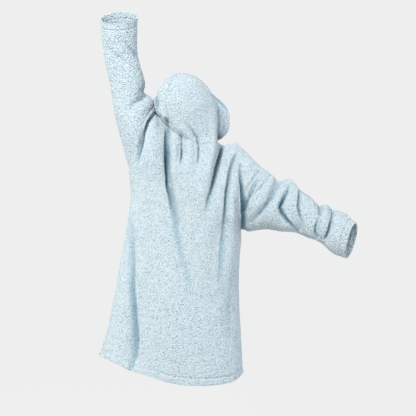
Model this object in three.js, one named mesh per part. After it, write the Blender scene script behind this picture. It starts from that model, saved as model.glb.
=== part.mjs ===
// An oversized plush fleece hoodie in its worn form: the hood up, the left sleeve raised and the right one held out.
// Millimetres, +Z up. The front faces -Y, the left sleeve is on +X, and the origin is at the base of the neck.
import * as THREE from "three";

// Cloth
const WALL = 5;
const SEAM_GAP = 0.3;
const CLOTH_COLOUR = 0xb9dbe6;

// Turned hems: how deep they are, and how far the cloth sinks along their stitching
const HEM_DEPTH = 24;
const HEM_GROOVE = 3;

// How finely each piece is divided
const LOWER_ROWS = 17;
const UPPER_ROWS = 13;
const SHOULDER_COLUMNS = 5;
const BACK_NECK_COLUMNS = 26;
const FRONT_NECK_COLUMNS = 12;
const ROWS_PER_SECTION = 3;
const HEM_ROWS = 2;
// The front is one panel. It is two nodes, parted across the chest at this row, so that each has simple collision.
const FRONT_SPLIT_ROW = LOWER_ROWS;
const PIECES = ["back", "front_lower", "front_upper", "sleeve_left", "sleeve_right", "hood_left", "hood_right"];
const HOOD_ROWS = 13;
const SAMPLES = 160;

// How much closer the rows get from the hem up: 1 is even
const ROW_CLOSING = 1.25;

// How square the body's rings are: 1 is an ellipse
const BODY_ROUNDNESS = 0.82;

// Rounds of smoothing, and the share of the way a point moves in and out in each
const SMOOTH_ROUNDS = 6;
const FOLD_SMOOTH_ROUNDS = 2;
const SMOOTH_IN = 0.5;
const SMOOTH_OUT = -0.52;

// The points where the pieces meet
const UNDERARM_LEFT = { x: 233, y: 0, z: -112 };
const UNDERARM_RIGHT = { x: -196, y: 0, z: -352 };
const SHOULDER_LEFT = { x: 146, y: -5, z: 146 };
const SHOULDER_RIGHT = { x: -182, y: 0, z: -6 };
const NECK_LEFT = { x: 122, y: 5, z: 98 };
const NECK_RIGHT = { x: -118, y: 8, z: -11 };
const NAPE = { x: 5, y: 94, z: 0 };
const THROAT = { x: 5, y: -108, z: -42 };

// Side seams, hem to underarm
const SIDE_LEFT = [
  { x: 348, y: 0, z: -813 },
  { x: 322, y: 0, z: -745 },
  { x: 291, y: 0, z: -610 },
  { x: 266, y: 0, z: -464 },
  { x: 238, y: 0, z: -310 },
  { x: 223, y: 0, z: -200 },
  UNDERARM_LEFT,
];
const SIDE_RIGHT = [
  { x: -206, y: 0, z: -882 },
  { x: -199, y: 0, z: -790 },
  { x: -189, y: 0, z: -660 },
  { x: -184, y: 0, z: -560 },
  { x: -188, y: 0, z: -450 },
  UNDERARM_RIGHT,
];

// Centre lines of the back and the front, hem to neck
const CENTRE_BACK_LOWER = [
  { x: 76, y: 190, z: -905 },
  { x: 55, y: 178, z: -730 },
  { x: 38, y: 165, z: -540 },
  { x: 18, y: 145, z: -245 },
];
const CENTRE_BACK_UPPER = [{ x: 18, y: 145, z: -245 }, { x: 10, y: 136, z: -125 }, NAPE];
const CENTRE_FRONT_LOWER = [
  { x: 76, y: -180, z: -885 },
  { x: 55, y: -172, z: -725 },
  { x: 38, y: -165, z: -540 },
  { x: 18, y: -152, z: -250 },
];
const CENTRE_FRONT_UPPER = [{ x: 18, y: -152, z: -250 }, { x: 10, y: -140, z: -150 }, THROAT];

// The hem, left to right
const HEM_BACK = [
  SIDE_LEFT[0],
  { x: 321, y: 76, z: -818 },
  { x: 271, y: 126, z: -834 },
  { x: 217, y: 158, z: -853 },
  { x: 151, y: 180, z: -871 },
  { x: 76, y: 190, z: -893 },
  { x: 20, y: 187, z: -904 },
  { x: -50, y: 172, z: -908 },
  { x: -116, y: 138, z: -909 },
  { x: -168, y: 88, z: -903 },
  SIDE_RIGHT[0],
];
const HEM_FRONT = [
  SIDE_LEFT[0],
  { x: 318, y: -78, z: -815 },
  { x: 225, y: -154, z: -842 },
  { x: 76, y: -182, z: -875 },
  { x: -70, y: -155, z: -896 },
  { x: -170, y: -86, z: -894 },
  SIDE_RIGHT[0],
];

// Armholes, underarm to shoulder
const ARMHOLE_LEFT_BACK = [
  UNDERARM_LEFT,
  { x: 219, y: 55, z: -102 },
  { x: 200, y: 98, z: -70 },
  { x: 188, y: 116, z: -20 },
  { x: 176, y: 112, z: 35 },
  { x: 154, y: 88, z: 84 },
  { x: 140, y: 45, z: 122 },
  SHOULDER_LEFT,
];
const ARMHOLE_LEFT_FRONT = [
  UNDERARM_LEFT,
  { x: 220, y: -60, z: -98 },
  { x: 200, y: -100, z: -60 },
  { x: 182, y: -110, z: 0 },
  { x: 166, y: -95, z: 60 },
  { x: 152, y: -55, z: 115 },
  SHOULDER_LEFT,
];
const ARMHOLE_RIGHT_BACK = [
  UNDERARM_RIGHT,
  { x: -195, y: 55, z: -325 },
  { x: -191, y: 88, z: -260 },
  { x: -184, y: 96, z: -170 },
  { x: -180, y: 84, z: -90 },
  { x: -178, y: 50, z: -32 },
  SHOULDER_RIGHT,
];
const ARMHOLE_RIGHT_FRONT = [
  UNDERARM_RIGHT,
  { x: -196, y: -58, z: -322 },
  { x: -194, y: -90, z: -250 },
  { x: -188, y: -95, z: -160 },
  { x: -183, y: -80, z: -85 },
  { x: -180, y: -45, z: -32 },
  SHOULDER_RIGHT,
];

// The neck seam, left to right
const NECK_BACK = [
  NECK_LEFT,
  { x: 110, y: 42, z: 84 },
  { x: 90, y: 68, z: 62 },
  { x: 64, y: 85, z: 36 },
  { x: 30, y: 94, z: 10 },
  NAPE,
  { x: -40, y: 86, z: -17 },
  { x: -85, y: 60, z: -18 },
  NECK_RIGHT,
];
const NECK_FRONT = [
  NECK_LEFT,
  { x: 106, y: -45, z: 56 },
  { x: 62, y: -92, z: -8 },
  THROAT,
  { x: -48, y: -98, z: -48 },
  { x: -95, y: -52, z: -34 },
  NECK_RIGHT,
];

// Sleeve sections, armhole to cuff. The ring runs from the underarm line (under) over the back to the
// shoulder line (over). depth is half its size front to back, middle its centre's y, and slant how far
// its back edge lies short of its middle, along the sleeve.
const SLEEVE_LEFT = [
  { underX: 233, underZ: -112, overX: 146, overZ: 146, depth: 112, middle: 0, slant: 0 },
  { underX: 254, underZ: -40, overX: 153, overZ: 160, depth: 102, middle: 2, slant: 0 },
  { underX: 271, underZ: 28, overX: 163, overZ: 175, depth: 90, middle: 4, slant: 0 },
  { underX: 283, underZ: 78, overX: 177, overZ: 187, depth: 78, middle: 6, slant: 0 },
  { underX: 291, underZ: 125, overX: 172, overZ: 200, depth: 70, middle: 8, slant: 0 },
  { underX: 296, underZ: 170, overX: 172, overZ: 226, depth: 65, middle: 12, slant: 0 },
  { underX: 305, underZ: 226, overX: 183, overZ: 262, depth: 60, middle: 17, slant: 0 },
  { underX: 318, underZ: 278, overX: 196, overZ: 308, depth: 57, middle: 23, slant: 0 },
  { underX: 328, underZ: 340, overX: 201, overZ: 355, depth: 56, middle: 30, slant: 4 },
  { underX: 334, underZ: 395, overX: 199, overZ: 400, depth: 60, middle: 36, slant: 15 },
  { underX: 338, underZ: 455, overX: 195, overZ: 462, depth: 63, middle: 42, slant: 32 },
];
const SLEEVE_RIGHT = [
  { underX: -196, underZ: -352, overX: -182, overZ: -6, depth: 95, middle: 0, slant: 0 },
  { underX: -222, underZ: -352, overX: -247, overZ: -76, depth: 92, middle: 4, slant: 0 },
  { underX: -264, underZ: -343, overX: -308, overZ: -122, depth: 86, middle: 9, slant: 0 },
  { underX: -302, underZ: -340, overX: -334, overZ: -151, depth: 80, middle: 14, slant: 0 },
  { underX: -342, underZ: -347, overX: -383, overZ: -146, depth: 78, middle: 20, slant: 0 },
  { underX: -378, underZ: -348, overX: -412, overZ: -187, depth: 72, middle: 26, slant: 0 },
  { underX: -412, underZ: -355, overX: -456, overZ: -206, depth: 68, middle: 32, slant: 0 },
  { underX: -442, underZ: -370, overX: -483, overZ: -248, depth: 62, middle: 38, slant: 0 },
  { underX: -472, underZ: -379, overX: -515, overZ: -244, depth: 64, middle: 44, slant: 2 },
  { underX: -500, underZ: -394, overX: -534, overZ: -262, depth: 60, middle: 50, slant: 5 },
  { underX: -544, underZ: -434, overX: -581, overZ: -276, depth: 66, middle: 55, slant: 12 },
  { underX: -586, underZ: -447, overX: -626, overZ: -314, depth: 67, middle: 60, slant: 24 },
];
const ARMHOLE_REACH = 0.4;

// The hood stands over the neck seam as a dome behind and a tube that reaches ahead to its rim, turned
// towards the right. Reaches and falls run from its centre. The rim flares beyond a trough.
const HOOD = {
  centre: { x: 17, y: -8, z: 100 },
  turn: THREE.MathUtils.degToRad(32),
  halfWidth: 115,
  halfDepth: 132,
  height: 156,
  lean: 14,
  crownBack: 74,
  rimReach: 122,
  rimTopReach: 124,
  rimTopFall: 70,
  domeShare: 0.6,
  seamShare: { left: 0.42, right: 0.24 },
  troughFromEdge: 46,
  troughDepth: 10,
  flare: 10,
};

// Folds: troughs, and ridges where the depth is negative. Side is 1 for what shows from behind and -1 for
// what shows from the front. Each place on a route is [x, z, depth], and width is half the fold's width.
const FOLDS = [
  { side: 1, width: 34, route: [[132, 112, 14], [163, 65, 24], [184, 8, 26], [196, -48, 18], [205, -92, 6]] },
  { side: 1, width: 36, route: [[91, 60, 14], [90, -38, 38], [83, -141, 40], [70, -209, 32], [52, -300, 18], [30, -400, 5]] },
  { side: 1, width: 24, route: [[27, 4, 8], [31, -38, 22], [35, -88, 10]] },
  { side: 1, width: 26, route: [[0, 60, 9], [-26, 27, 9], [-38, -38, 8], [-34, -90, 8]] },
  { side: 1, width: 34, route: [[-126, -8, 14], [-119, -60, 33], [-106, -115, 35], [-92, -170, 25], [-82, -225, 14], [-70, -295, 5]] },
  { side: 1, width: 26, route: [[-168, -40, 12], [-150, -106, 22], [-139, -170, 18], [-133, -250, 14], [-118, -400, 5]] },
  { side: 1, width: 28, route: [[-186, -90, 14], [-184, -160, 18], [-190, -240, 22], [-196, -345, 26]] },
  { side: 1, width: 46, route: [[140, 60, -12], [150, -60, -9], [150, -200, -6]] },
  { side: 1, width: 26, route: [[56, 0, -9], [58, -120, -7], [40, -220, -5]] },
  { side: 1, width: 34, route: [[-72, 60, -14], [-82, -30, -12], [-68, -120, -11], [-38, -220, -7]] },
  { side: 1, width: 24, route: [[-134, -40, -9], [-118, -130, -7], [-104, -240, -5]] },
  { side: 1, width: 60, route: [[224, -400, 6], [214, -508, 10], [204, -661, 14], [200, -800, 18]] },
  { side: 1, width: 55, route: [[40, -420, 10], [15, -500, 6], [-6, -640, 3]] },
  { side: 1, width: 50, route: [[-112, -350, 10], [-108, -440, 6], [-92, -560, 3]] },
  { side: 1, width: 26, route: [[-277, -118, 13], [-246, -194, 12], [-206, -274, 12]] },
  { side: 1, width: 26, route: [[-342, -160, 18], [-308, -217, 17], [-274, -268, 15], [-225, -322, 14]] },
  { side: 1, width: 24, route: [[-372, -182, 18], [-348, -235, 17], [-353, -280, 16], [-385, -312, 15], [-402, -334, 14]] },
  { side: 1, width: 18, route: [[-403, -215, 10], [-401, -256, 8], [-409, -290, 6]] },
  { side: 1, width: 20, route: [[-486, -262, 10], [-479, -312, 9], [-471, -352, 8]] },
  { side: 1, width: 20, route: [[-533, -270, 12], [-521, -312, 12], [-507, -375, 12]] },
  { side: 1, width: 24, route: [[163, 165, 13], [198, 142, 8], [226, 114, 4]] },
  { side: 1, width: 24, route: [[308, 342, 6], [272, 310, 6], [236, 289, 5]] },
  { side: 1, width: 22, route: [[250, 366, 5], [222, 336, 6], [201, 312, 8]] },
  { side: -1, width: 34, route: [[136, 110, 18], [160, 60, 14], [178, 0, 10], [190, -60, 6]] },
  { side: -1, width: 40, route: [[96, 20, 24], [92, -90, 18], [78, -220, 11], [60, -360, 5]] },
  { side: -1, width: 38, route: [[-98, -40, 22], [-84, -120, 16], [-60, -230, 10], [-40, -330, 4]] },
  { side: -1, width: 30, route: [[-166, -40, 16], [-156, -130, 12], [-146, -260, 9], [-138, -380, 5]] },
  { side: -1, width: 28, route: [[-188, -100, 12], [-188, -200, 17], [-196, -345, 22]] },
  { side: -1, width: 60, route: [[250, -420, 6], [236, -600, 11], [232, -800, 16]] },
  { side: -1, width: 62, route: [[120, -520, 4], [126, -700, 9], [140, -880, 14]] },
  { side: -1, width: 62, route: [[-60, -480, 4], [-70, -680, 9], [-78, -880, 14]] },
  { side: -1, width: 28, route: [[-280, -110, 12], [-250, -190, 11], [-214, -268, 10]] },
  { side: -1, width: 28, route: [[-344, -160, 15], [-318, -226, 14], [-262, -300, 12]] },
  { side: -1, width: 26, route: [[-396, -176, 13], [-372, -250, 12], [-384, -322, 12]] },
  { side: -1, width: 22, route: [[-484, -258, 10], [-470, -320, 9], [-452, -360, 8]] },
  { side: -1, width: 20, route: [[-532, -272, 12], [-520, -320, 12], [-508, -372, 12]] },
  { side: -1, width: 26, route: [[168, 178, 12], [204, 150, 8], [246, 118, 5]] },
  { side: -1, width: 24, route: [[300, 330, 7], [262, 305, 7], [214, 298, 7]] },
];

const vector = ({ x, y, z }) => new THREE.Vector3(x, y, z);
const smooth = (from, to, value) => THREE.MathUtils.smoothstep(value, from, to);
const splineThrough = (table) =>
  new THREE.CatmullRomCurve3(table.map(vector), false, "centripetal").getSpacedPoints(SAMPLES);

// A polyline's points again, count spaces apart: equal ones, or ones that close towards the end.
function evenly(points, count, closing = 1) {
  const reach = [0];
  for (let i = 1; i < points.length; i++) {
    reach.push(reach[i - 1] + points[i].distanceTo(points[i - 1]));
  }
  const spaced = [];
  for (let k = 0, i = 1; k <= count; k++) {
    const goal = reach.at(-1) * (1 - (1 - k / count) ** closing);
    while (i < points.length - 1 && reach[i] < goal) i++;
    const share = (goal - reach[i - 1]) / (reach[i] - reach[i - 1]);
    spaced.push(points[i - 1].clone().lerp(points[i], share));
  }
  return spaced;
}

// One row of the front or back: an arc from its left edge through its centre line to its right edge.
function rowArc(left, centre, right, columns, roundness) {
  const bulge = centre.clone().sub(left.clone().lerp(right, 0.5));
  const fine = [];
  for (let k = 0; k <= SAMPLES; k++) {
    const angle = (Math.PI * k) / SAMPLES;
    const chord = left.clone().lerp(right, (1 - Math.cos(angle)) / 2);
    fine.push(chord.addScaledVector(bulge, Math.sin(angle) ** roundness));
  }
  return evenly(fine, columns);
}

// Rows for a line that starts at a hem: the hem's own rows, then the rest.
function fromHem(points, count) {
  const length = points.slice(1).reduce((sum, p, i) => sum + p.distanceTo(points[i]), 0);
  const cut = Math.round((SAMPLES * HEM_DEPTH) / length);
  const rest = evenly(points.slice(cut), count - HEM_ROWS, ROW_CLOSING);
  return [...evenly(points.slice(0, cut + 1), HEM_ROWS), ...rest.slice(1)];
}

// The rows of the front or back, hem to shoulder. The lowest is drawn to the hem, and the top one to the
// shoulder and neck seams.
function bodyRows(sides, armholes, centreLines, hem, neck, neckColumns) {
  const columns = neckColumns + 2 * SHOULDER_COLUMNS;
  const edge = (lower, upper) => [
    ...fromHem(splineThrough(lower), LOWER_ROWS),
    ...evenly(splineThrough(upper), UPPER_ROWS).slice(1),
  ];
  const left = edge(sides.left, armholes.left);
  const right = edge(sides.right, armholes.right);
  const centre = edge(centreLines.lower, centreLines.upper);
  const shoulder = (from, to) => evenly([vector(from), vector(to)], SHOULDER_COLUMNS);
  const top = [
    ...shoulder(SHOULDER_LEFT, NECK_LEFT),
    ...evenly(splineThrough(neck), neckColumns).slice(1, -1),
    ...shoulder(NECK_RIGHT, SHOULDER_RIGHT),
  ];
  const last = left.length - 1;
  const drawTo = (goal, row, roundness) =>
    rowArc(left[row], centre[row], right[row], columns, roundness).map((p, i) => goal[i].clone().sub(p));
  const fall = drawTo(evenly(splineThrough(hem), columns), 0, BODY_ROUNDNESS);
  const lift = drawTo(top, last, 1);
  return left.map((start, row) => {
    const rise = Math.max(0, row - LOWER_ROWS) / UPPER_ROWS;
    const low = 1 - Math.min(1, row / LOWER_ROWS);
    const roundness = THREE.MathUtils.lerp(BODY_ROUNDNESS, 1, rise);
    const arc = rowArc(start, centre[row], right[row], columns, roundness);
    return arc.map((p, i) => p.addScaledVector(lift[i], rise ** 2).addScaledVector(fall[i], low ** 1.5));
  });
}

// A value between the rows of a table, on a smooth curve through them.
function between(table, column, place) {
  const row = Math.min(Math.floor(place), table.length - 2);
  const value = (i) => table[THREE.MathUtils.clamp(i, 0, table.length - 1)][column];
  const t = place - row;
  const [a, b, c, d] = [value(row - 1), value(row), value(row + 1), value(row + 2)];
  return b + 0.5 * t * (c - a + t * (2 * a - 5 * b + 4 * c - d + t * (3 * (b - c) + d - a)));
}

// A sleeve's rings, armhole to cuff. The armhole's own shape fades into the sections' ellipses.
function sleeveRings(table, backEdge, frontEdge) {
  const armhole = [...backEdge, ...[...frontEdge].reverse().slice(1, -1)];
  const last = table.length - 1;
  const middleOf = (place) =>
    new THREE.Vector3(
      (between(table, "underX", place) + between(table, "overX", place)) / 2,
      between(table, "middle", place),
      (between(table, "underZ", place) + between(table, "overZ", place)) / 2,
    );
  const ellipse = (place) => {
    const along = middleOf(Math.min(place + 0.5, last)).sub(middleOf(Math.max(place - 0.5, 0))).normalize();
    const middle = middleOf(place);
    const under = new THREE.Vector3(between(table, "underX", place), middle.y, between(table, "underZ", place));
    return armhole.map((_, i) => {
      const angle = (2 * Math.PI * i) / armhole.length;
      return middle
        .clone()
        .addScaledVector(under.clone().sub(middle), Math.cos(angle))
        .add(new THREE.Vector3(0, between(table, "depth", place) * Math.sin(angle), 0))
        .addScaledVector(along, -between(table, "slant", place) * Math.sin(angle));
    });
  };
  const hemShare = HEM_DEPTH / middleOf(last).distanceTo(middleOf(last - 1));
  const spaces = last * ROWS_PER_SECTION;
  const places = Array.from({ length: spaces }, (_, row) => (row / (spaces - 1)) * (last - hemShare));
  for (let row = 1; row <= HEM_ROWS; row++) places.push(last - hemShare * (1 - row / HEM_ROWS));
  const start = ellipse(0);
  return places.map((place) => {
    const keep = 1 - smooth(0, ARMHOLE_REACH, place / last);
    return ellipse(place).map((p, i) => p.add(armhole[i].clone().sub(start[i]).multiplyScalar(keep)));
  });
}

// The hood's rows, neck seam to crown seam. Each runs from the rim round the back to the rim.
function hoodRows(backNeck, frontNeck) {
  const half = frontNeck.length >> 1;
  const neck = [...frontNeck.slice(0, half + 1).reverse(), ...backNeck.slice(1, -1), ...frontNeck.slice(half).reverse()];
  const columns = neck.length - 1;
  const side = new THREE.Vector3(Math.cos(HOOD.turn), -Math.sin(HOOD.turn), 0);
  const back = new THREE.Vector3(Math.sin(HOOD.turn), Math.cos(HOOD.turn), 0);
  const onDome = (latitude, round, sign) => {
    const girth = Math.cos(latitude * (latitude < 0 ? 0.5 : 1));
    const rise = Math.max(0, Math.sin(latitude));
    const ahead = Math.max(0, (round - HOOD.domeShare) / (1 - HOOD.domeShare));
    const angle = (Math.PI / 2) * Math.max(0, 1 - round / HOOD.domeShare);
    const reach = THREE.MathUtils.lerp(HOOD.rimTopReach, HOOD.rimReach, girth);
    const fromEdge = reach * (1 - ahead);
    const trough = HOOD.troughDepth * (1 - smooth(0, 30, Math.abs(fromEdge - HOOD.troughFromEdge)));
    const flare = HOOD.flare * (1 - smooth(0, 40, fromEdge));
    const across = HOOD.halfWidth * girth * Math.cos(angle) + (flare - trough) * girth;
    const behind = THREE.MathUtils.lerp(HOOD.crownBack, HOOD.halfDepth, girth) * Math.sin(angle);
    const dome = 1 - (girth * Math.cos(angle)) ** 2 - (behind / HOOD.halfDepth) ** 2;
    const up = latitude < 0 ? Math.sin(latitude) * HOOD.height : Math.sqrt(Math.max(0, dome)) * HOOD.height;
    return vector(HOOD.centre)
      .addScaledVector(side, sign * across)
      .addScaledVector(back, behind - reach * ahead + HOOD.lean * rise)
      .add(new THREE.Vector3(0, 0, up - rise * (HOOD.rimTopFall * ahead ** 1.5 - flare + trough)));
  };
  const lines = neck.map((seam, column) => {
    const round = Math.abs((2 * column) / columns - 1);
    const sign = column * 2 < columns ? 1 : -1;
    const share = THREE.MathUtils.lerp(HOOD.seamShare.left, HOOD.seamShare.right, column / columns);
    const lowest = Math.asin(THREE.MathUtils.clamp((seam.z - HOOD.centre.z) / HOOD.height, -0.95, 0.95));
    const fine = Array.from({ length: SAMPLES + 1 }, (_, k) => {
      const t = k / SAMPLES;
      const goal = onDome(THREE.MathUtils.lerp(lowest, Math.PI / 2, t), round, sign);
      return seam.clone().lerp(goal, smooth(0, share, t));
    });
    return evenly(fine, HOOD_ROWS);
  });
  return Array.from({ length: HOOD_ROWS + 1 }, (_, row) => lines.map((line) => line[row]));
}

// All the cloth as one surface: points shared at the seams, and faces that each belong to a piece.
const points = [];
const faces = [];
const grooved = new Set();
const pointAt = new Map();

function pointNumber(p) {
  const key = [p.x, p.y, p.z].map((value) => Math.round(value * 50)).join();
  if (!pointAt.has(key)) {
    pointAt.set(key, points.length);
    points.push(p.clone());
  }
  return pointAt.get(key);
}

function addCloth(rows, { closed = false, inward = false, grooveRow = null, pieceOf }) {
  const numbers = rows.map((row) => row.map(pointNumber));
  numbers.at(grooveRow ?? rows.length)?.forEach((n) => grooved.add(n));
  const columns = numbers[0].length - (closed ? 0 : 1);
  for (let r = 0; r < numbers.length - 1; r++) {
    for (let c = 0; c < columns; c++) {
      const d = (c + 1) % numbers[r].length;
      const loop = [numbers[r][c], numbers[r][d], numbers[r + 1][d], numbers[r + 1][c]];
      const corners = loop.filter((n, i) => n !== loop[(i + 1) % loop.length]);
      if (corners.length > 2) {
        faces.push({ piece: pieceOf(r, c), corners: inward ? corners.reverse() : corners });
      }
    }
  }
}

const sides = { left: SIDE_LEFT, right: SIDE_RIGHT };
const back = bodyRows(
  sides,
  { left: ARMHOLE_LEFT_BACK, right: ARMHOLE_RIGHT_BACK },
  { lower: CENTRE_BACK_LOWER, upper: CENTRE_BACK_UPPER },
  HEM_BACK,
  NECK_BACK,
  BACK_NECK_COLUMNS,
);
const front = bodyRows(
  sides,
  { left: ARMHOLE_LEFT_FRONT, right: ARMHOLE_RIGHT_FRONT },
  { lower: CENTRE_FRONT_LOWER, upper: CENTRE_FRONT_UPPER },
  HEM_FRONT,
  NECK_FRONT,
  FRONT_NECK_COLUMNS,
);
const edgeOf = (rows, column) => rows.slice(LOWER_ROWS).map((row) => row.at(column));
const neckOf = (rows) => rows.at(-1).slice(SHOULDER_COLUMNS, -SHOULDER_COLUMNS);
const hood = hoodRows(neckOf(back), neckOf(front));

addCloth(back, { grooveRow: HEM_ROWS, pieceOf: () => "back" });
addCloth(front, {
  inward: true,
  grooveRow: HEM_ROWS,
  pieceOf: (row) => (row < FRONT_SPLIT_ROW ? "front_lower" : "front_upper"),
});
addCloth(sleeveRings(SLEEVE_LEFT, edgeOf(back, 0), edgeOf(front, 0)), {
  closed: true,
  grooveRow: -1 - HEM_ROWS,
  pieceOf: () => "sleeve_left",
});
addCloth(sleeveRings(SLEEVE_RIGHT, edgeOf(back, -1), edgeOf(front, -1)), {
  closed: true,
  inward: true,
  grooveRow: -1 - HEM_ROWS,
  pieceOf: () => "sleeve_right",
});
addCloth(hood, { pieceOf: (_, column) => (column * 2 < hood[0].length - 1 ? "hood_left" : "hood_right") });

// Neighbours of each point along the faces' edges, and the points on an open edge of the whole garment.
function findNeighbours() {
  const uses = new Map();
  const neighbours = points.map(() => new Set());
  for (const { corners } of faces) {
    corners.forEach((a, i) => {
      const b = corners[(i + 1) % corners.length];
      neighbours[a].add(b);
      neighbours[b].add(a);
      const key = Math.min(a, b) + "," + Math.max(a, b);
      uses.set(key, (uses.get(key) ?? 0) + 1);
    });
  }
  const open = new Set();
  for (const [key, count] of uses) {
    if (count === 1) key.split(",").forEach((n) => open.add(Number(n)));
  }
  return { neighbours, open };
}

function relax(rounds) {
  const { neighbours, open } = findNeighbours();
  for (let round = 0; round < 2 * rounds; round++) {
    const share = round % 2 ? SMOOTH_OUT : SMOOTH_IN;
    const moved = points.map((p, i) => {
      if (open.has(i)) return p;
      const mean = new THREE.Vector3();
      neighbours[i].forEach((n) => mean.addScaledVector(points[n], 1 / neighbours[i].size));
      return p.clone().lerp(mean, share);
    });
    moved.forEach((p, i) => points[i].copy(p));
  }
}

function findNormals() {
  const normals = points.map(() => new THREE.Vector3());
  for (const { corners } of faces) {
    const [a, b, c] = corners.map((n) => points[n]);
    const d = points[corners.at(-1)];
    const normal = c.clone().sub(a).cross(d.clone().sub(b));
    if (corners.length === 3) normal.copy(b.clone().sub(a).cross(c.clone().sub(a)));
    corners.forEach((n) => normals[n].add(normal));
  }
  return normals.map((n) => n.normalize());
}

// How far a place is from a route in x and z, and the route's depth where it is nearest.
function nearestOn(route, x, z) {
  let best = { away: Infinity, depth: 0 };
  for (let i = 0; i < route.length - 1; i++) {
    const [[ax, az, from], [bx, bz, to]] = [route[i], route[i + 1]];
    const [dx, dz] = [bx - ax, bz - az];
    const t = THREE.MathUtils.clamp(((x - ax) * dx + (z - az) * dz) / (dx * dx + dz * dz), 0, 1);
    const away = Math.hypot(x - ax - t * dx, z - az - t * dz);
    if (away < best.away) best = { away, depth: THREE.MathUtils.lerp(from, to, t) };
  }
  return best;
}

function foldCloth() {
  const normals = findNormals();
  const depths = points.map((p, i) => {
    let total = 0;
    for (const { side, width, route } of FOLDS) {
      const { away, depth } = nearestOn(route, p.x, p.z);
      const facing = smooth(0, 0.45, side * normals[i].y);
      total += facing * depth * (1 - Math.min(1, away / width) ** 2) ** 2;
    }
    return total;
  });
  points.forEach((p, i) => p.addScaledVector(normals[i], -depths[i] - (grooved.has(i) ? HEM_GROOVE : 0)));
}

// The miter that takes each edge point of a piece half a seam gap back into the piece.
function seamShifts(own) {
  const edges = new Set();
  own.forEach(({ corners }) => corners.forEach((a, i) => edges.add(a + "," + corners[(i + 1) % corners.length])));
  const shifts = new Map();
  const rim = [];
  for (const { corners } of own) {
    const normal = new THREE.Vector3()
      .crossVectors(
        points[corners[2]].clone().sub(points[corners[0]]),
        points[corners.at(-1)].clone().sub(points[corners[1]]),
      );
    if (corners.length === 3) {
      normal.crossVectors(
        points[corners[1]].clone().sub(points[corners[0]]),
        points[corners[2]].clone().sub(points[corners[0]]),
      );
    }
    corners.forEach((a, i) => {
      const b = corners[(i + 1) % corners.length];
      if (edges.has(b + "," + a)) return;
      rim.push([a, b]);
      const inwards = normal.clone().cross(points[b].clone().sub(points[a])).normalize();
      [a, b].forEach((n) => shifts.set(n, [...(shifts.get(n) ?? []), inwards]));
    });
  }
  for (const [n, parts] of shifts) {
    const sum = parts.reduce((total, part) => total.add(part), new THREE.Vector3());
    const scale = parts.length === 2 ? 1 + parts[0].dot(parts[1]) : 1;
    const miter = parts.length === 2 ? sum.divideScalar(Math.max(scale, 0.5)) : sum.normalize();
    shifts.set(n, miter.multiplyScalar(SEAM_GAP / 2));
  }
  return { shifts, rim };
}

// A piece's solid: its outer faces, the same faces a wall's thickness in, and the rim between them.
function pieceSolid(piece, normals) {
  const own = faces.filter((face) => face.piece === piece);
  const { shifts, rim } = seamShifts(own);
  const used = [...new Set(own.flatMap((face) => face.corners))];
  const position = [];
  const place = new Map(used.map((n, i) => [n, i]));
  const still = new THREE.Vector3();
  used.forEach((n) => position.push(...points[n].clone().add(shifts.get(n) ?? still)));
  used.forEach((n) => {
    const outer = points[n].clone().add(shifts.get(n) ?? still);
    position.push(...outer.addScaledVector(normals[n], -WALL));
  });
  const index = [];
  const inner = used.length;
  const addFace = (a, b, c) => index.push(a, b, c, inner + c, inner + b, inner + a);
  for (const { corners } of own) {
    const [a, b, c, d] = corners.map((n) => place.get(n));
    if (corners.length === 3) {
      addFace(a, b, c);
    } else {
      const spans = [[0, 2], [1, 3]].map(([i, j]) => points[corners[i]].distanceTo(points[corners[j]]));
      if (spans[0] < spans[1]) {
        addFace(a, b, c);
        addFace(a, c, d);
      } else {
        addFace(a, b, d);
        addFace(b, c, d);
      }
    }
  }
  for (const [from, to] of rim) {
    const [a, b] = [place.get(from), place.get(to)];
    if (from < to) index.push(b, a, inner + a, b, inner + a, inner + b);
    else index.push(b, a, inner + b, a, inner + a, inner + b);
  }
  const geometry = new THREE.BufferGeometry();
  geometry.setAttribute("position", new THREE.Float32BufferAttribute(position, 3));
  geometry.setIndex(index);
  geometry.computeVertexNormals();
  return geometry;
}

relax(SMOOTH_ROUNDS);
foldCloth();
relax(FOLD_SMOOTH_ROUNDS);

const fleece = new THREE.MeshStandardMaterial({ color: CLOTH_COLOUR, roughness: 0.95, metalness: 0 });
const normals = findNormals();
const hoodie = new THREE.Group();
for (const piece of PIECES) {
  const mesh = new THREE.Mesh(pieceSolid(piece, normals), fleece);
  mesh.name = piece;
  hoodie.add(mesh);
}

export default hoodie;
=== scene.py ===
import math
from itertools import product

import bmesh
import bpy
import numpy as np
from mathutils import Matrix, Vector
from mathutils.kdtree import KDTree


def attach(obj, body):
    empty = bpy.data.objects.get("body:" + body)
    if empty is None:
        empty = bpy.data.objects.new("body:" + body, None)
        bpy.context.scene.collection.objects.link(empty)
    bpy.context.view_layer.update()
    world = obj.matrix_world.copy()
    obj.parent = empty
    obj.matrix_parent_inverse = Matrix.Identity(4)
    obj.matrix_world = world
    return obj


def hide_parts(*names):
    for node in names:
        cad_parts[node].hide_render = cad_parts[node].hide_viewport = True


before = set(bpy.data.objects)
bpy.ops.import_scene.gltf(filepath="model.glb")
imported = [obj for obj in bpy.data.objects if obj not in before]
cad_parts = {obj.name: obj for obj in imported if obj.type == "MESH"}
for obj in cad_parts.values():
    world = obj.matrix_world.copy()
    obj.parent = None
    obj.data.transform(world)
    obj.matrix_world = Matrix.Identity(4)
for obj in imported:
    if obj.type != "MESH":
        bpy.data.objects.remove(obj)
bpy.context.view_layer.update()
bpy.ops.object.select_all(action="DESELECT")

# The picture, and the camera's and the studio's places, in metres
PICTURE = 416
PIXEL = 0.0038
CAMERA = (-0.068, 4.5, -0.258)
SENSOR = 36
FLOOR = -1.42
STUDIO_RADIUS = 5.5
COVE_RADIUS = 2.0
COVE_STEPS = 8
WALL_HEIGHT = 5.0

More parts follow.
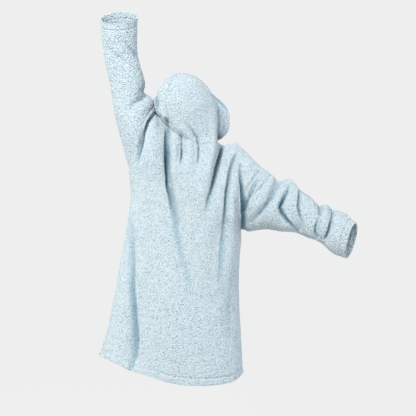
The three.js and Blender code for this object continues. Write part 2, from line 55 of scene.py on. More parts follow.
# Sizes of the cloth, in metres
WALL = 0.005
WALL_ERROR = 0.00002
WELD = 0.00001
PARTING = 0.0006
SEAM_REACH = 0.0008
SEAM_JOIN = 0.0062
SEAM_BLEND = (0.002, 0.020)
SEAM_SINK = 0.0014
SEAM_WIDTH = 0.008
HEM_DEPTH = 0.024
HEM_SINK = 0.0026
HEM_LINE_WIDTH = 0.0045
# Slow rises and falls of the whole cloth: height, size and seed
WAVERS = [(0.0012, 0.070, 3.1), (0.0006, 0.028, 7.7)]

# The curled pile. Each layer of knobs has its share of the height, its size against the first and its seed.
KNOB_SIZE = 0.0070
KNOB_HEIGHT = 0.0046
KNOB_BASE = -0.0020
KNOB_LAYERS = [(0.68, 1.0, 1.3), (0.32, 0.6, 5.9)]
KNOB_JITTER = 0.85
KNOB_BEND = 0.55
CURL_SCALE = 225
CURL_BUMP = -0.0045
# The pile's colour from root to top, darker low down as painted shade between the knobs; each knob's own tone
# varies at random
PILE_TONES_AND_ROOT_SHADE = [(0.0, (0.53, 0.615, 0.655)), (0.3, (0.66, 0.73, 0.765)), (0.8, (0.72, 0.785, 0.805))]
INNER_TONES_AND_ROOT_SHADE = [(0.0, (0.62, 0.695, 0.73)), (1.0, (0.66, 0.73, 0.765))]

# Cut of each piece before it was sewn and worn: width and length, area in square metres, how it is held
CUTS = {
    "back": ((0.72, 1.05), 0.565, "hung"),
    "front": ((0.70, 1.00), 0.535, "hung"),
    "sleeve_left": ((0.44, 0.62), 0.205, "gathered"),
    "sleeve_right": ((0.60, 0.60), 0.255, "gathered"),
    "hood_left": ((0.31, 0.36), 0.076, "draped"),
    "hood_right": ((0.33, 0.38), 0.094, "draped"),
}
NODES = {"front": ["front_lower", "front_upper"]}
TRIANGLES = {"back": 192000, "front": 165000, "sleeve_left": 150000, "sleeve_right": 165000,
             "hood_left": 70000, "hood_right": 75000}

# Creases, in millimetres, from the top down. Side is 1 where seen from behind and -1 where seen from the
# front. Left and right are how far the crease spreads on each side of its line, as seen from behind, and lip
# is how high the cloth stands beside its steeper side. Reach is how far a crease runs on round the outline,
# and shade how dark the shade painted along its line is. Each place is x, z and depth, below 0 for a ridge,
# with a fourth number where the crease is wider or narrower than usual.
CREASES = [
    # the left armhole, and the deep slot beside the broad fold below the nape
    {"side": 1, "left": 7, "right": 13, "lip": 3, "reach": -0.2, "route": [(122, 141, 3, 0.6),
        (118, 122, 3, 0.7), (125, 106, 3, 0.7), (137, 95, 7, 0.8), (144, 84, 13), (156, 65, 16),
        (163, 46, 17), (171, 23, 17), (182, -15, 17), (186, -46, 14), (194, -76, 9), (201, -110, 3)]},
    {"side": 1, "left": 6, "right": 23, "lip": 6, "route": [(87, 68, 5, 0.8), (87, 38, 9), (91, -8, 11),
        (91, -46, 14), (91, -84, 17), (87, -133, 16), (84, -175, 13), (72, -220, 9, 1.2),
        (61, -266, 7, 1.4), (49, -312, 5, 1.6)]},
    {"side": 1, "left": 30, "right": 30, "lip": 0, "shade": 0.7, "route": [(68, -228, 2), (57, -285, 6),
        (46, -361, 7), (34, -418, 6), (15, -486, 5), (-8, -570, 2)]},
    # under the roll of cloth at the nape, and the roll's own line and crest
    {"side": 1, "left": 5, "right": 4, "lip": 0, "route": [(91, 80, 2), (80, 53, 5), (68, 34, 9),
        (65, 23, 2)]},
    {"side": 1, "left": 5, "right": 5, "lip": 0, "route": [(38, 15, 2), (30, 4, 10), (30, -11, 4),
        (30, -27, 5), (30, -49, 12, 1.2), (30, -68, 11), (34, -95, 3)]},
    {"side": 1, "left": 8, "right": 7, "lip": 0, "route": [(114, 103, 1), (91, 80, 1), (53, 68, 1),
        (15, 53, 2), (-8, 34, 5), (-27, 4, 8), (-34, -38, 8), (-34, -68, 7), (-30, -106, 2)]},
    {"side": 1, "left": 16, "right": 15, "lip": 0, "route": [(76, 68, -1), (38, 49, -1), (8, 23, -3),
        (-4, -15, -5), (-4, -68, -5), (0, -114, -2)]},
    # the hood runs into the back without a line here, and swells over the left shoulder
    {"side": 1, "left": 34, "right": 34, "lip": 0, "route": [(-2, -16, -2), (-22, -18, -6), (-44, -18, -7),
        (-64, -18, -6), (-82, -16, -2)]},
    {"side": 1, "left": 24, "right": 24, "lip": 0, "reach": -0.9, "route": [(129, 190, -3), (129, 152, -6),
        (122, 125, -7), (114, 106, -8), (103, 87, -2)]},
    {"side": 1, "left": 22, "right": 22, "lip": 0, "reach": -0.9, "route": [(160, 156, -5), (152, 141, -10),
        (144, 122, -12), (141, 103, -9), (141, 84, -3)]},
    {"side": 1, "left": 15, "right": 13, "lip": 0, "route": [(106, 103, -2), (91, 87, -8), (84, 76, -5)]},
    {"side": 1, "left": 6, "right": 16, "lip": 0, "reach": -0.6, "route": [(114, 232, 2), (125, 205, 5),
        (129, 175, 7), (125, 144, 8), (122, 125, 7)]},
    # the hood's edge on the right, seen past its back, and the soft ridge beside it
    {"side": 1, "left": 7, "right": 12, "lip": 3, "reach": -0.5, "route": [(-86, 172, 2), (-96, 152, 8),
        (-105, 134, 13), (-109, 116, 14), (-108, 84, 12), (-107, 38, 11), (-109, -8, 10)]},
    {"side": 1, "left": 20, "right": 14, "lip": 0, "reach": -0.3, "route": [(-84, 130, -2), (-90, 90, -5),
        (-90, 40, -7), (-88, -10, -7), (-84, -50, -4)]},
    # the outline beside the hood's edge, and on top of the right sleeve
    {"side": 1, "left": 22, "right": 22, "lip": 0, "reach": -0.9, "route": [(-84, 194, 2), (-106, 171, 9),
        (-125, 148, 9), (-144, 118, 4)]},
    {"side": 1, "left": 18, "right": 18, "lip": 0, "reach": -0.9, "route": [(-414, -186, 2),
        (-437, -198, 7), (-460, -213, 7), (-483, -236, 2)]},
    # long folds on the right of the back
    {"side": 1, "left": 6, "right": 18, "lip": 5, "route": [(-125, -8, 8), (-114, -46, 14), (-106, -72, 15),
        (-95, -110, 14), (-84, -160, 12), (-76, -198, 8), (-68, -228, 6, 1.3), (-61, -266, 3, 1.4)]},
    {"side": 1, "left": 9, "right": 14, "lip": 3, "shade": 0.8, "route": [(-175, -42, 3), (-163, -72, 9),
        (-156, -95, 11), (-148, -122, 12), (-144, -152, 12), (-137, -190, 12), (-133, -236, 12),
        (-129, -285, 10, 1.3), (-125, -334, 8, 1.6), (-122, -391, 7, 2), (-118, -456, 6, 2.2),
        (-114, -532, 3, 2.4)]},
    {"side": 1, "left": 6, "right": 15, "lip": 3, "route": [(-186, -95, 3), (-186, -129, 10),
        (-190, -175, 14), (-194, -217, 15, 1.3), (-198, -262, 16, 1.6), (-198, -304, 15, 1.6),
        (-198, -338, 10, 1.3)]},
    # a soft fold in the lower part of the back
    {"side": 1, "left": 46, "right": 22, "lip": 2, "shade": 0.85, "route": [(224, -285, 1), (213, -380, 6),
        (213, -494, 10), (213, -570, 12), (205, -627, 13), (201, -684, 13), (194, -741, 12), (198, -798, 9),
        (213, -844, 5)]},
    {"side": 1, "left": 44, "right": 44, "lip": 0, "shade": 0.35, "route": [(-160, -464, 2),
        (-156, -551, 7), (-148, -646, 7), (-141, -741, 3)]},
    # the right sleeve
    {"side": 1, "left": 9, "right": 9, "lip": 0, "route": [(-274, -106, 1), (-247, -137, 4),
        (-217, -175, 4), (-201, -198, 2)]},
    {"side": 1, "left": 10, "right": 8, "lip": 0, "route": [(-308, -129, 1), (-281, -160, 5),
        (-251, -194, 5), (-224, -224, 2)]},
    {"side": 1, "left": 20, "right": 10, "lip": 0, "shade": 0.8, "route": [(-258, -152, 4), (-243, -182, 8),
        (-224, -217, 10), (-209, -247, 10), (-201, -270, 8)]},
    {"side": 1, "left": 24, "right": 10, "lip": 2, "shade": 0.8, "route": [(-346, -152, 2), (-331, -179, 5),
        (-308, -217, 8), (-289, -247, 9), (-266, -277, 8), (-236, -308, 4)]},
    {"side": 1, "left": 20, "right": 6, "lip": 5, "route": [(-372, -175, 4), (-365, -201, 10),
        (-350, -232, 15), (-342, -255, 17), (-350, -281, 18), (-369, -308, 14), (-388, -327, 8),
        (-407, -346, 3)]},
    {"side": 1, "left": 8, "right": 14, "lip": 2, "route": [(-414, -190, 6), (-407, -220, 10),
        (-403, -251, 10), (-407, -277, 10), (-414, -304, 7), (-418, -327, 2)]},
    {"side": 1, "left": 9, "right": 10, "lip": 0, "route": [(-486, -247, 8), (-486, -270, 7),
        (-479, -300, 3), (-467, -327, 8), (-467, -353, 9), (-475, -369, 6)]},
    {"side": 1, "left": 8, "right": 8, "lip": 3, "route": [(-536, -266, 5), (-528, -296, 9),
        (-521, -319, 11), (-513, -350, 11), (-505, -372, 8)]},
    # the left sleeve
    {"side": 1, "left": 14, "right": 8, "lip": 2, "route": [(156, 171, 3), (179, 152, 7), (198, 141, 7),
        (213, 129, 5), (224, 110, 2)]},
    {"side": 1, "left": 10, "right": 10, "lip": 0, "route": [(306, 342, 2), (272, 311, 4), (236, 289, 2)]},
    {"side": 1, "left": 10, "right": 10, "lip": 0, "route": [(249, 366, 1), (221, 335, 5), (202, 312, 4)]},
    # softer folds on the hidden side
    {"side": -1, "left": 12, "right": 12, "lip": 0, "route": [(138, 106, 6), (160, 60, 9), (178, 0, 7),
        (190, -60, 2)]},
    {"side": -1, "left": 15, "right": 9, "lip": 2, "route": [(96, 10, 7), (92, -90, 10), (78, -200, 7),
        (64, -300, 2)]},
    {"side": -1, "left": 8, "right": 15, "lip": 2, "route": [(-98, -40, 8), (-84, -120, 10), (-62, -220, 6),
        (-46, -300, 1)]},
    {"side": -1, "left": 8, "right": 10, "lip": 2, "route": [(-166, -50, 4), (-157, -130, 9),
        (-146, -240, 6), (-139, -340, 1)]},
    {"side": -1, "left": 9, "right": 9, "lip": 0, "route": [(-188, -120, 3), (-188, -200, 10),
        (-195, -320, 8)]},
    {"side": -1, "left": 14, "right": 8, "lip": 2, "route": [(-280, -112, 4), (-250, -190, 8),
        (-216, -262, 2)]},
    {"side": -1, "left": 15, "right": 7, "lip": 3, "route": [(-344, -164, 5), (-318, -226, 11),
        (-266, -296, 3)]},
    {"side": -1, "left": 7, "right": 12, "lip": 2, "route": [(-396, -180, 4), (-372, -250, 10),
        (-384, -318, 3)]},
    {"side": -1, "left": 7, "right": 8, "lip": 2, "route": [(-530, -276, 4), (-520, -320, 9),
        (-510, -368, 4)]},
    {"side": -1, "left": 8, "right": 12, "lip": 2, "route": [(168, 176, 4), (204, 150, 8), (244, 120, 2)]},
    {"side": -1, "left": 10, "right": 10, "lip": 0, "route": [(298, 328, 2), (262, 305, 5), (218, 298, 2)]},
]

# What each face of a piece is, as its place in the piece's list of materials
PILE, INSIDE, SEAM_EDGE, TURNED, HEM_EDGE = range(5)


# The camera, level and behind the garment, as the photograph is framed
def place_camera():
    bpy.ops.object.camera_add(location=CAMERA, rotation=(math.pi / 2, 0, math.pi))
    camera = bpy.context.object
    camera.name = "camera"
    camera.data.sensor_width = SENSOR
    camera.data.lens = SENSOR * CAMERA[1] / (PICTURE * PIXEL)
    camera.data.clip_end = 60
    bpy.context.scene.camera = camera


def select_only(piece):
    bpy.ops.object.select_all(action="DESELECT")
    piece.select_set(True)
    bpy.context.view_layer.objects.active = piece


# Rises smoothly from 0 at low to 1 at high
def ease(low, high, value):
    t = np.clip((value - low) / (high - low), 0.0, 1.0)
    return t * t * (3.0 - 2.0 * t)


# One field of all the items, as an array
def column(items, field, width=1, kind=np.float32):
    values = np.empty(len(items) * width, dtype=kind)
    items.foreach_get(field, values)
    return values.reshape(-1, width) if width > 1 else values


def places_tree(places):
    tree = KDTree(len(places))
    for i, place in enumerate(places):
        tree.insert(place, i)
    tree.balance()
    return tree


# Each cloth piece starts as a copy of its solids, made whole and turned to quads
def cloth_from(name):
    nodes = NODES.get(name, [name])
    mesh = bmesh.new()
    for node in nodes:
        mesh.from_mesh(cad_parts[node].data)
    piece = bpy.data.objects.new(name + "_fleece", bpy.data.meshes.new(name + "_fleece"))
    mesh.to_mesh(piece.data)
    mesh.free()
    bpy.context.scene.collection.objects.link(piece)
    select_only(piece)
    bpy.ops.object.mode_set(mode="EDIT")
    bpy.ops.mesh.select_all(action="SELECT")
    bpy.ops.mesh.remove_doubles(threshold=WELD)
    if len(nodes) > 1:
        close_parting(piece)
    bpy.ops.mesh.select_all(action="SELECT")
    bpy.ops.mesh.tris_convert_to_quads(face_threshold=math.radians(60), shape_threshold=math.radians(120))
    bpy.ops.object.mode_set(mode="OBJECT")
    return piece


# Where a panel's solid is parted in two, the cloth is whole: the faces in the parting go, and its sides join
def close_parting(piece):
    mesh = bmesh.from_edit_mesh(piece.data)
    tree = places_tree([vert.co for vert in mesh.verts])
    parted = {vert for vert in mesh.verts if tree.find_n(vert.co, 2)[1][2] < PARTING}
    for face in mesh.faces:
        face.select_set(all(vert in parted for vert in face.verts))
    bmesh.update_edit_mesh(piece.data)
    bpy.ops.mesh.delete(type="ONLY_FACE")
    bpy.ops.mesh.select_all(action="SELECT")
    bpy.ops.mesh.remove_doubles(threshold=PARTING)


# The narrow faces between a wall's two sides are as wide as the wall is thick
def is_wall_edge(face):
    across = [edge for edge in face.edges if abs(edge.calc_length() - WALL) < WALL_ERROR]
    return len(across) >= (2 if len(face.edges) == 4 else 1)


# The walls that the faces make up, each joined over its edges, the largest first
def walls_of(faces):
    waiting, walls = set(faces), []
    while waiting:
        wall, stack = [], [waiting.pop()]
        while stack:
            face = stack.pop()
            wall.append(face)
            beside = {other for edge in face.edges for other in edge.link_faces} & waiting
            waiting -= beside
            stack.extend(beside)
        walls.append(wall)
    return sorted(walls, key=lambda wall: -sum(face.calc_area() for face in wall))


# Says which faces are the pile outside, the inside, a seam's edge, the hem's edge and what is turned in
def mark_walls(piece, beside):
    mesh = bmesh.new()
    mesh.from_mesh(piece.data)
    crease = mesh.edges.layers.float.new("crease_edge")
    edge_faces = {face for face in mesh.faces if is_wall_edge(face)}
    walls = walls_of(face for face in mesh.faces if face not in edge_faces)
    sewn = {vert for face in edge_faces for vert in face.verts if beside.find(vert.co)[2] < SEAM_REACH}
    seam = {face for face in edge_faces if all(vert in sewn for vert in face.verts)}
    hem_verts = {vert for face in edge_faces - seam for vert in face.verts}
    hem_tree = places_tree([vert.co for vert in hem_verts] or [(9, 9, 9)])
    inside = {face for wall in walls[1:] for face in wall}
    for face in mesh.faces:
        face.smooth = True
        face.material_index = PILE
        if face in seam:
            face.material_index = SEAM_EDGE
        elif face in edge_faces:
            face.material_index = HEM_EDGE
        elif face in inside:
            near = hem_tree.find(face.calc_center_median())[2] < HEM_DEPTH
            face.material_index = TURNED if near else INSIDE
    for edge in mesh.edges:
        kinds = [face in seam for face in edge.link_faces]
        edge[crease] = float(any(kinds) and not all(kinds))
    mesh.to_mesh(piece.data)
    mesh.free()


# Makes the cloth round and fine: the longest edges on the pile side are halved up to its most triangles
def refine(piece, most):
    select_only(piece)
    bpy.ops.object.modifier_add(type="SUBSURF")
    piece.modifiers[-1].levels = 2
    piece.modifiers[-1].render_levels = 2
    bpy.ops.object.modifier_apply(modifier=piece.modifiers[-1].name)
    bpy.ops.object.mode_set(mode="EDIT")
    bpy.ops.mesh.select_mode(type="VERT")
    bpy.ops.mesh.select_all(action="DESELECT")
    mesh = bmesh.from_edit_mesh(piece.data)
    for vert in mesh.verts:
        vert.select_set(all(face.material_index in (PILE, INSIDE) for face in vert.link_faces))
    bmesh.update_edit_mesh(piece.data)
    bpy.ops.mesh.vertices_smooth(factor=0.5, repeat=6)
    for step in range(2):
        bpy.ops.mesh.select_mode(type="EDGE")
        bpy.ops.mesh.select_all(action="DESELECT")
        mesh = bmesh.from_edit_mesh(piece.data)
        furry = [edge for edge in mesh.edges
                 if all(face.material_index in (PILE, TURNED, HEM_EDGE) for face in edge.link_faces)]
        if step == 1:
            room = (most - sum(len(face.verts) - 2 for face in mesh.faces)) // 2
            furry = sorted(furry, key=lambda edge: -round(edge.calc_length(), 7))[:room]
        for edge in furry:
            edge.select_set(True)
        bmesh.update_edit_mesh(piece.data)
        bpy.ops.mesh.subdivide(number_cuts=1)
    bpy.ops.object.mode_set(mode="OBJECT")


# What is known of each point of a piece: where it is, what it is part of, and which way is out of the garment
def study(piece):
    mesh = piece.data
    count = len(mesh.vertices)
    kinds = column(mesh.polygons, "material_index", 1, np.int32)
    corners = column(mesh.loops, "vertex_index", 1, np.int32)
    totals = column(mesh.polygons, "loop_total", 1, np.int32)
    corner_kinds = np.repeat(kinds, totals)
    sign = np.select([kinds == PILE, np.isin(kinds, (INSIDE, TURNED))], [1.0, -1.0], 0.0)
    weight = column(mesh.polygons, "area") * sign
    push = np.repeat(column(mesh.polygons, "normal", 3) * weight[:, None], totals, 0)
    out = np.stack([np.bincount(corners, push[:, k], count) for k in range(3)], 1)
    length = np.linalg.norm(out, axis=1)
    out /= np.maximum(length, 1e-15)[:, None]
    cloth = {"piece": piece, "places": column(mesh.vertices, "co", 3).astype(np.float64), "out": out}
    for label, kind in (("pile", PILE), ("inside", INSIDE), ("seam", SEAM_EDGE), ("turned", TURNED),
                        ("hem", HEM_EDGE)):
        cloth[label] = np.bincount(corners, corner_kinds == kind, count) > 0
    lost = np.nonzero(length < 1e-12)[0]
    if len(lost):
        known = np.nonzero(length >= 1e-12)[0]
        from_known = places_tree(cloth["places"][known])
        for i in lost:
            out[i] = out[known[from_known.find(cloth["places"][i])[1]]]
    return cloth


# At a seam both pieces take one direction and sink by one depth, so that they still meet
def join_directions(cloths):
    seam_places = np.concatenate([c["places"][c["seam"]] for c in cloths])
    seam_outs = np.concatenate([c["out"][c["seam"]] for c in cloths])
    tree = places_tree(seam_places)
    shared = np.array([seam_outs[[i for _, i, _ in tree.find_range(place, SEAM_JOIN)]].sum(0)
                       for place in seam_places])
    shared /= np.linalg.norm(shared, axis=1)[:, None]
    for cloth in cloths:
        found = [tree.find(place) for place in cloth["places"]]
        cloth["from_seam"] = np.array([f[2] for f in found])
        beside = shared[[f[1] for f in found]]
        share = ease(*SEAM_BLEND, cloth["from_seam"])[:, None]
        out = beside * (1 - share) + cloth["out"] * share
        cloth["out"] = out / np.maximum(np.linalg.norm(out, axis=1), 1e-9)[:, None]
        hem = cloth["places"][cloth["hem"]]
        tree_of_hem = places_tree(hem if len(hem) else [(9.0, 9.0, 9.0)])
        cloth["from_hem"] = np.array([tree_of_hem.find(place)[2] for place in cloth["places"]])


# How deep the creases are at each place, and how much painted shade it takes for lying down in their hollows,
# from 0 to 1
def crease_depth(places, out):
    depth = np.zeros(len(places))
    crease_hollow_shade = np.zeros(len(places))
    flat = places[:, [0, 2]] * 1000
    for crease in CREASES:
        reach = crease.get("reach", 0.0)
        facing = ease(reach, reach + 0.45, crease["side"] * out[:, 1])
        route = np.array([(*place, 1.0)[:4] for place in crease["route"]])
        nearest_away = np.full(len(places), 1e9)
        line_depth = np.zeros(len(places))
        width = np.ones(len(places))
        turn = np.zeros(len(places))
        for (x0, z0, d0, w0), (x1, z1, d1, w1) in zip(route[:-1], route[1:]):
            along = np.array([x1 - x0, z1 - z0])
            t = np.clip(((flat - (x0, z0)) @ along) / (along @ along), 0.0, 1.0)
            to_line = flat - (x0, z0) - t[:, None] * along
            away = np.linalg.norm(to_line, axis=1)
            closer = away < nearest_away
            nearest_away = np.where(closer, away, nearest_away)
            line_depth = np.where(closer, d0 + (d1 - d0) * t, line_depth)
            width = np.where(closer, w0 + (w1 - w0) * t, width)
            turn = np.where(closer, to_line[:, 0] * along[1] - to_line[:, 1] * along[0], turn)
        wander = (1.0 + 0.14 * np.sin(flat[:, 1] / 17.0 + route[0, 0])
                  + 0.08 * np.sin(flat[:, 0] / 11.0 + route[0, 1]))
        spread = np.where(turn < 0, crease["left"], crease["right"]) * width
        shape = 1 - ease(0.0, 1.0, nearest_away / (spread * wander))
        ends = ease(0.0, 4.0, np.abs(line_depth))
        steep = np.sign(crease["left"] - crease["right"]) * turn > 0
        lip = steep * crease["lip"] * ease(3.0, 11.0, nearest_away) * (1 - ease(11.0, 30.0, nearest_away))
        depth += (line_depth * shape - lip * ends * np.clip(line_depth / 12, 0, 1)) * facing
        dark = 1 - ease(0.0, 1.0, nearest_away / (0.55 * spread + 1.5))
        shade = crease.get("shade", 1.0)
        # painted shade: the colour darkens along the crease's line, where shade falls
        crease_hollow_shade = np.maximum(crease_hollow_shade, shade * dark * np.clip(line_depth / 14, 0, 1) * facing)
    return depth / 1000, crease_hollow_shade


# Three even random numbers from 0 to 1 for each cell
def rolls(cells, seed):
    mixes = np.array([(127.1, 311.7, 74.7), (269.5, 183.3, 246.1), (113.5, 271.9, 124.6)])
    return np.sin(cells @ mixes.T + seed) * 43758.5453 % 1.0


# Rises and falls smoothly, from -1 to 1
def waver(places, size, seed):
    p = places / size
    cell = np.floor(p)
    t = p - cell
    t = t * t * (3 - 2 * t)
    total = np.zeros(len(p))
    for step in product((0, 1), repeat=3):
        share = np.prod(np.where(np.array(step) == 1, t, 1 - t), axis=1)
        total += share * rolls(cell + step, seed)[:, 0]
    return total * 2 - 1


# The curled knobs of the pile: how high each place stands, from 0 to 1
def knobs(places, size, seed):
    bend = np.stack([waver(places, size * 1.6, seed + k) for k in range(3)], 1)
    p = (places + bend * size * KNOB_BEND) / size
    cell = np.floor(p)
    first = np.full(len(p), 9.0)
    second = np.full(len(p), 9.0)
    tone = np.zeros(len(p))
    for step in product((-1, 0, 1), repeat=3):
        roll = rolls(cell + step, seed)
        away = np.sqrt(((p - cell - step - 0.5 - KNOB_JITTER * (roll - 0.5)) ** 2).sum(1))
        closer = away < first
        second = np.where(closer, first, np.minimum(second, away))
        tone = np.where(closer, roll[:, 0], tone)
        first = np.minimum(first, away)
    dome = np.clip(1.0 - (first / 0.8) ** 2, 0.0, 1.0)
    rim = np.clip((second - first) / 0.5, 0.0, 1.0)
    return (0.55 * dome + 0.45 * np.sqrt(rim)) * (0.72 + 0.28 * tone)


# Moves the points of a piece: seams and hem line sink, creases fold in, and the pile stands up in knobs
def raise_pile(cloth):
    places, out = cloth["places"], cloth["out"]
    mesh = cloth["piece"].data
    folds, crease_hollow_shade = crease_depth(places, out)
    sink = folds + SEAM_SINK * (1 - ease(0.0, SEAM_WIDTH, cloth["from_seam"]))
    sink -= sum(height * waver(places, size, seed) for height, size, seed in WAVERS)
    moved = places - out * sink[:, None]
    mesh.vertices.foreach_set("co", moved.astype(np.float32).ravel())
    mesh.update()
    normals = column(mesh.vertices, "normal", 3).astype(np.float64)
    apart = ease(0.001, 0.009, cloth["from_seam"])[:, None]
    normals = out * (1 - apart) + normals * apart
    height = sum(share * knobs(moved, KNOB_SIZE * size, seed) for share, size, seed in KNOB_LAYERS)
    furry = (cloth["pile"] | cloth["turned"] | cloth["hem"]) & ~cloth["inside"]
    line = 1 - ease(0.0, HEM_LINE_WIDTH, np.abs(cloth["from_hem"] - HEM_DEPTH))
    rise = furry * (KNOB_BASE + KNOB_HEIGHT * height * (1 - 0.55 * line) * (1 - 0.4 * crease_hollow_shade))
    rise -= furry * HEM_SINK * line
    moved = moved + normals * rise[:, None]
    mesh.vertices.foreach_set("co", moved.astype(np.float32).ravel())
    # the knobs' heights and the painted crease shade are kept for the pile's colour
    for label, values in (("pile", height), ("crease_hollow_shade", crease_hollow_shade)):
        layer = mesh.attributes.new(label, "FLOAT", "POINT")
        layer.data.foreach_set("value", values.astype(np.float32))
    kinds = column(mesh.polygons, "material_index", 1, np.int32)
    seam_edges = set()
    for face in (mesh.polygons[int(i)] for i in np.nonzero(kinds == SEAM_EDGE)[0]):
        seam_edges.update(face.edge_keys)
    for edge in mesh.edges:
        if edge.key in seam_edges:
            edge.use_edge_sharp = True
    mesh.update()


def new_material(name):
    material = bpy.data.materials.new(name)
    material.use_nodes = True
    shader = next(node for node in material.node_tree.nodes if node.type == "BSDF_PRINCIPLED")
    return material, material.node_tree, shader


def ramp(tree, source, stops):
    node = tree.nodes.new("ShaderNodeValToRGB")
    while len(node.color_ramp.elements) < len(stops):
        node.color_ramp.elements.new(0.5)
    for element, (place, colour) in zip(node.color_ramp.elements, stops):
        element.position = place
        element.color = (*colour, 1)
    tree.links.new(source, node.inputs["Fac"])
    return node.outputs["Color"]


def multiplied(tree, one, two):
    node = tree.nodes.new("ShaderNodeMix")
    node.data_type = "RGBA"
    node.blend_type = "MULTIPLY"
    node.inputs["Factor"].default_value = 1.0
    tree.links.new(one, node.inputs["A"])
    tree.links.new(two, node.inputs["B"])
    return node.outputs["Result"]


def noise(tree, where, scale, rough=0.6, output="Fac"):
    node = tree.nodes.new("ShaderNodeTexNoise")
    node.inputs["Scale"].default_value = scale
    node.inputs["Detail"].default_value = 2.0
    node.inputs["Roughness"].default_value = rough
    tree.links.new(where, node.inputs["Vector"])
    return node.outputs[output]


def attribute(tree, name):
    node = tree.nodes.new("ShaderNodeAttribute")
    node.attribute_name = name
    return node.outputs["Fac"]


# A bump on the surface, over another one that lies below it
def bumped(tree, height, strength, distance, below=None):
    node = tree.nodes.new("ShaderNodeBump")
    node.inputs["Strength"].default_value = strength
    node.inputs["Distance"].default_value = distance
    tree.links.new(height, node.inputs["Height"])
    if below:
        tree.links.new(below, node.inputs["Normal"])
    return node.outputs["Normal"]


# Curled, light blue pile, with shade painted deeper blue between the curls and in the creases. Tones colour
# it from root to top, darker at the root as painted shade.
def pile_material(name, tones_and_root_shade):
    material, tree, shader = new_material(name)
    where = tree.nodes.new("ShaderNodeTexCoord").outputs["Object"]
    bent = tree.nodes.new("ShaderNodeVectorMath")
    bent.operation = "MULTIPLY_ADD"
    bent.inputs[1].default_value = (0.004, 0.004, 0.004)
    tree.links.new(noise(tree, where, 190, 0.5, "Color"), bent.inputs[0])
    tree.links.new(where, bent.inputs[2])
    curls = tree.nodes.new("ShaderNodeTexVoronoi")
    curls.inputs["Scale"].default_value = CURL_SCALE
    curls.inputs["Randomness"].default_value = KNOB_JITTER
    tree.links.new(bent.outputs["Vector"], curls.inputs["Vector"])
    lot = tree.nodes.new("ShaderNodeSeparateColor")
    tree.links.new(curls.outputs["Color"], lot.inputs["Color"])
    # colour from root to top: painted shade low down between the knobs, and each knob's own random tone
    colour = ramp(tree, attribute(tree, "pile"), tones_and_root_shade)
    # painted shade: darker between the curls, where shade falls
    painted_gap_shade = ramp(tree, curls.outputs["Distance"], [(0.15, (1.0, 1.0, 1.0)), (0.50, (0.83, 0.88, 0.90)),
                                                 (0.85, (0.42, 0.55, 0.61))])
    curl = ramp(tree, lot.outputs["Red"], [(0.0, (0.83, 0.86, 0.88)), (0.5, (1.0, 1.0, 1.0))])
    broad = ramp(tree, noise(tree, where, 5.0), [(0.3, (0.975, 0.985, 1.0)), (0.7, (1.0, 1.0, 0.99))])
    # painted shade: deep blue in the creases, where shade falls
    painted_crease_shade = ramp(tree, attribute(tree, "crease_hollow_shade"), [(0.0, (1.0, 1.0, 1.0)), (0.3, (0.74, 0.84, 0.88)),
                                                  (1.0, (0.20, 0.38, 0.47))])
    for layer in (painted_gap_shade, curl, broad, painted_crease_shade):
        colour = multiplied(tree, colour, layer)
    tree.links.new(colour, shader.inputs["Base Color"])
    curled = bumped(tree, curls.outputs["Distance"], 1.0, CURL_BUMP)
    tree.links.new(bumped(tree, noise(tree, where, 800), 0.5, 0.0008, curled), shader.inputs["Normal"])
    shader.inputs["Roughness"].default_value = 0.95
    shader.inputs["Specular IOR Level"].default_value = 0.12
    shader.inputs["Sheen Weight"].default_value = 0.3
    shader.inputs["Sheen Roughness"].default_value = 0.5
    shader.inputs["Sheen Tint"].default_value = (0.92, 0.96, 1.0, 1)
    return material


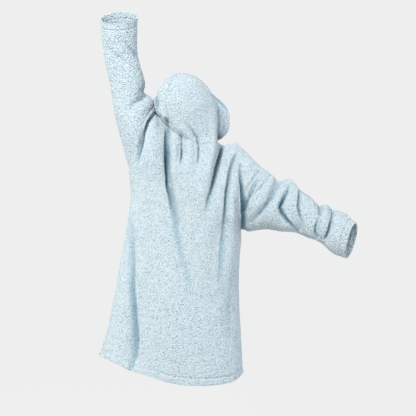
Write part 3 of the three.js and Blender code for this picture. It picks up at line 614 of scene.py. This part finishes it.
# A pale round studio: floor, cove and wall in one, brighter behind the garment than in front of it
def make_studio():
    bpy.ops.mesh.primitive_circle_add(vertices=96, radius=STUDIO_RADIUS, fill_type="NGON",
                                      location=(0, 0, FLOOR))
    studio = bpy.context.object
    studio.name = "studio"
    bpy.ops.object.mode_set(mode="EDIT")
    bpy.ops.mesh.select_mode(type="EDGE")
    bpy.ops.mesh.select_all(action="SELECT")
    radius, before = STUDIO_RADIUS, 0.0
    for turn in range(COVE_STEPS):
        angle = math.radians(90 * (turn + 1) / COVE_STEPS)
        wider = STUDIO_RADIUS + COVE_RADIUS * math.sin(angle)
        rise = COVE_RADIUS * (math.cos(before) - math.cos(angle))
        bpy.ops.mesh.extrude_edges_move(TRANSFORM_OT_translate={"value": (0, 0, rise)})
        bpy.ops.transform.resize(value=(wider / radius, wider / radius, 1), center_override=(0, 0, 0))
        radius, before = wider, angle
    bpy.ops.mesh.extrude_edges_move(TRANSFORM_OT_translate={"value": (0, 0, WALL_HEIGHT)})
    bpy.ops.mesh.select_all(action="SELECT")
    bpy.ops.mesh.normals_make_consistent(inside=True)
    bpy.ops.object.mode_set(mode="OBJECT")
    bpy.ops.object.transform_apply(location=True, rotation=True, scale=True)
    bpy.ops.object.shade_smooth()
    material, tree, shader = new_material("studio_paper")
    split = tree.nodes.new("ShaderNodeSeparateXYZ")
    tree.links.new(tree.nodes.new("ShaderNodeTexCoord").outputs["Object"], split.inputs["Vector"])
    spread = tree.nodes.new("ShaderNodeMapRange")
    spread.inputs["From Min"].default_value = -1.0
    spread.inputs["From Max"].default_value = 3.0
    spread.inputs["To Min"].default_value = 0.75
    spread.inputs["To Max"].default_value = 0.35
    tree.links.new(split.outputs["Y"], spread.inputs["Value"])
    tree.links.new(spread.outputs["Result"], shader.inputs["Emission Strength"])
    shader.inputs["Base Color"].default_value = (0.12, 0.12, 0.12, 1)
    shader.inputs["Emission Color"].default_value = (1, 1, 1, 1)
    shader.inputs["Roughness"].default_value = 1.0
    shader.inputs["Specular IOR Level"].default_value = 0.0
    studio.data.materials.append(material)


# A round soft light that shines from its place at its aim
def add_light(name, place, aim, size, power, colour):
    bpy.ops.object.light_add(type="AREA", location=place)
    light = bpy.context.object
    light.name = name
    away = [a - b for a, b in zip(place, aim)]
    light.rotation_mode = "QUATERNION"
    light.rotation_quaternion = Vector(away).to_track_quat("Z", "Y")
    light.data.shape = "DISK"
    light.data.size = size
    light.data.energy = power
    light.data.color = colour


def set_lights():
    add_light("key", (1.5, 3.55, 2.6), (0, 0, -0.2), 1.7, 268, (1.0, 0.99, 0.965))
    add_light("fill", (-3.5, 1.7, 1.0), (0, 0, -0.3), 2.2, 46, (0.86, 0.88, 1.0))
    add_light("low_fill", (-1.7, 0.9, -1.2), (-0.4, 0, -0.2), 0.9, 13, (0.95, 0.96, 1.0))
    add_light("side_fill", (2.3, 0.9, -0.9), (0.2, 0, -0.5), 1.2, 16, (0.96, 0.97, 1.0))
    world = bpy.data.worlds.new("studio_air")
    bpy.context.scene.world = world
    world.use_nodes = True
    world.node_tree.nodes["Background"].inputs["Color"].default_value = (0.9, 0.94, 1.0, 1)
    world.node_tree.nodes["Background"].inputs["Strength"].default_value = 0.6
    bpy.context.scene.view_settings.view_transform = "Standard"


# Make the garment
place_camera()
names = list(CUTS)
fleece = {name: cloth_from(name) for name in names}
for name in names:
    own = NODES.get(name, [name])
    others = [v.co for node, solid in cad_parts.items() if node not in own for v in solid.data.vertices]
    mark_walls(fleece[name], places_tree(others))
    refine(fleece[name], TRIANGLES[name])
cloths = [study(fleece[name]) for name in names]
join_directions(cloths)
for cloth in cloths:
    raise_pile(cloth)

pile = pile_material("light_blue_curled_pile", PILE_TONES_AND_ROOT_SHADE)
inside = pile_material("light_blue_inner_pile", INNER_TONES_AND_ROOT_SHADE)
for name in names:
    piece = fleece[name]
    for material in (pile, inside, inside, pile, pile):
        piece.data.materials.append(material)
    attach(piece, "root")
    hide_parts(*NODES.get(name, [name]))

make_studio()
set_lights()
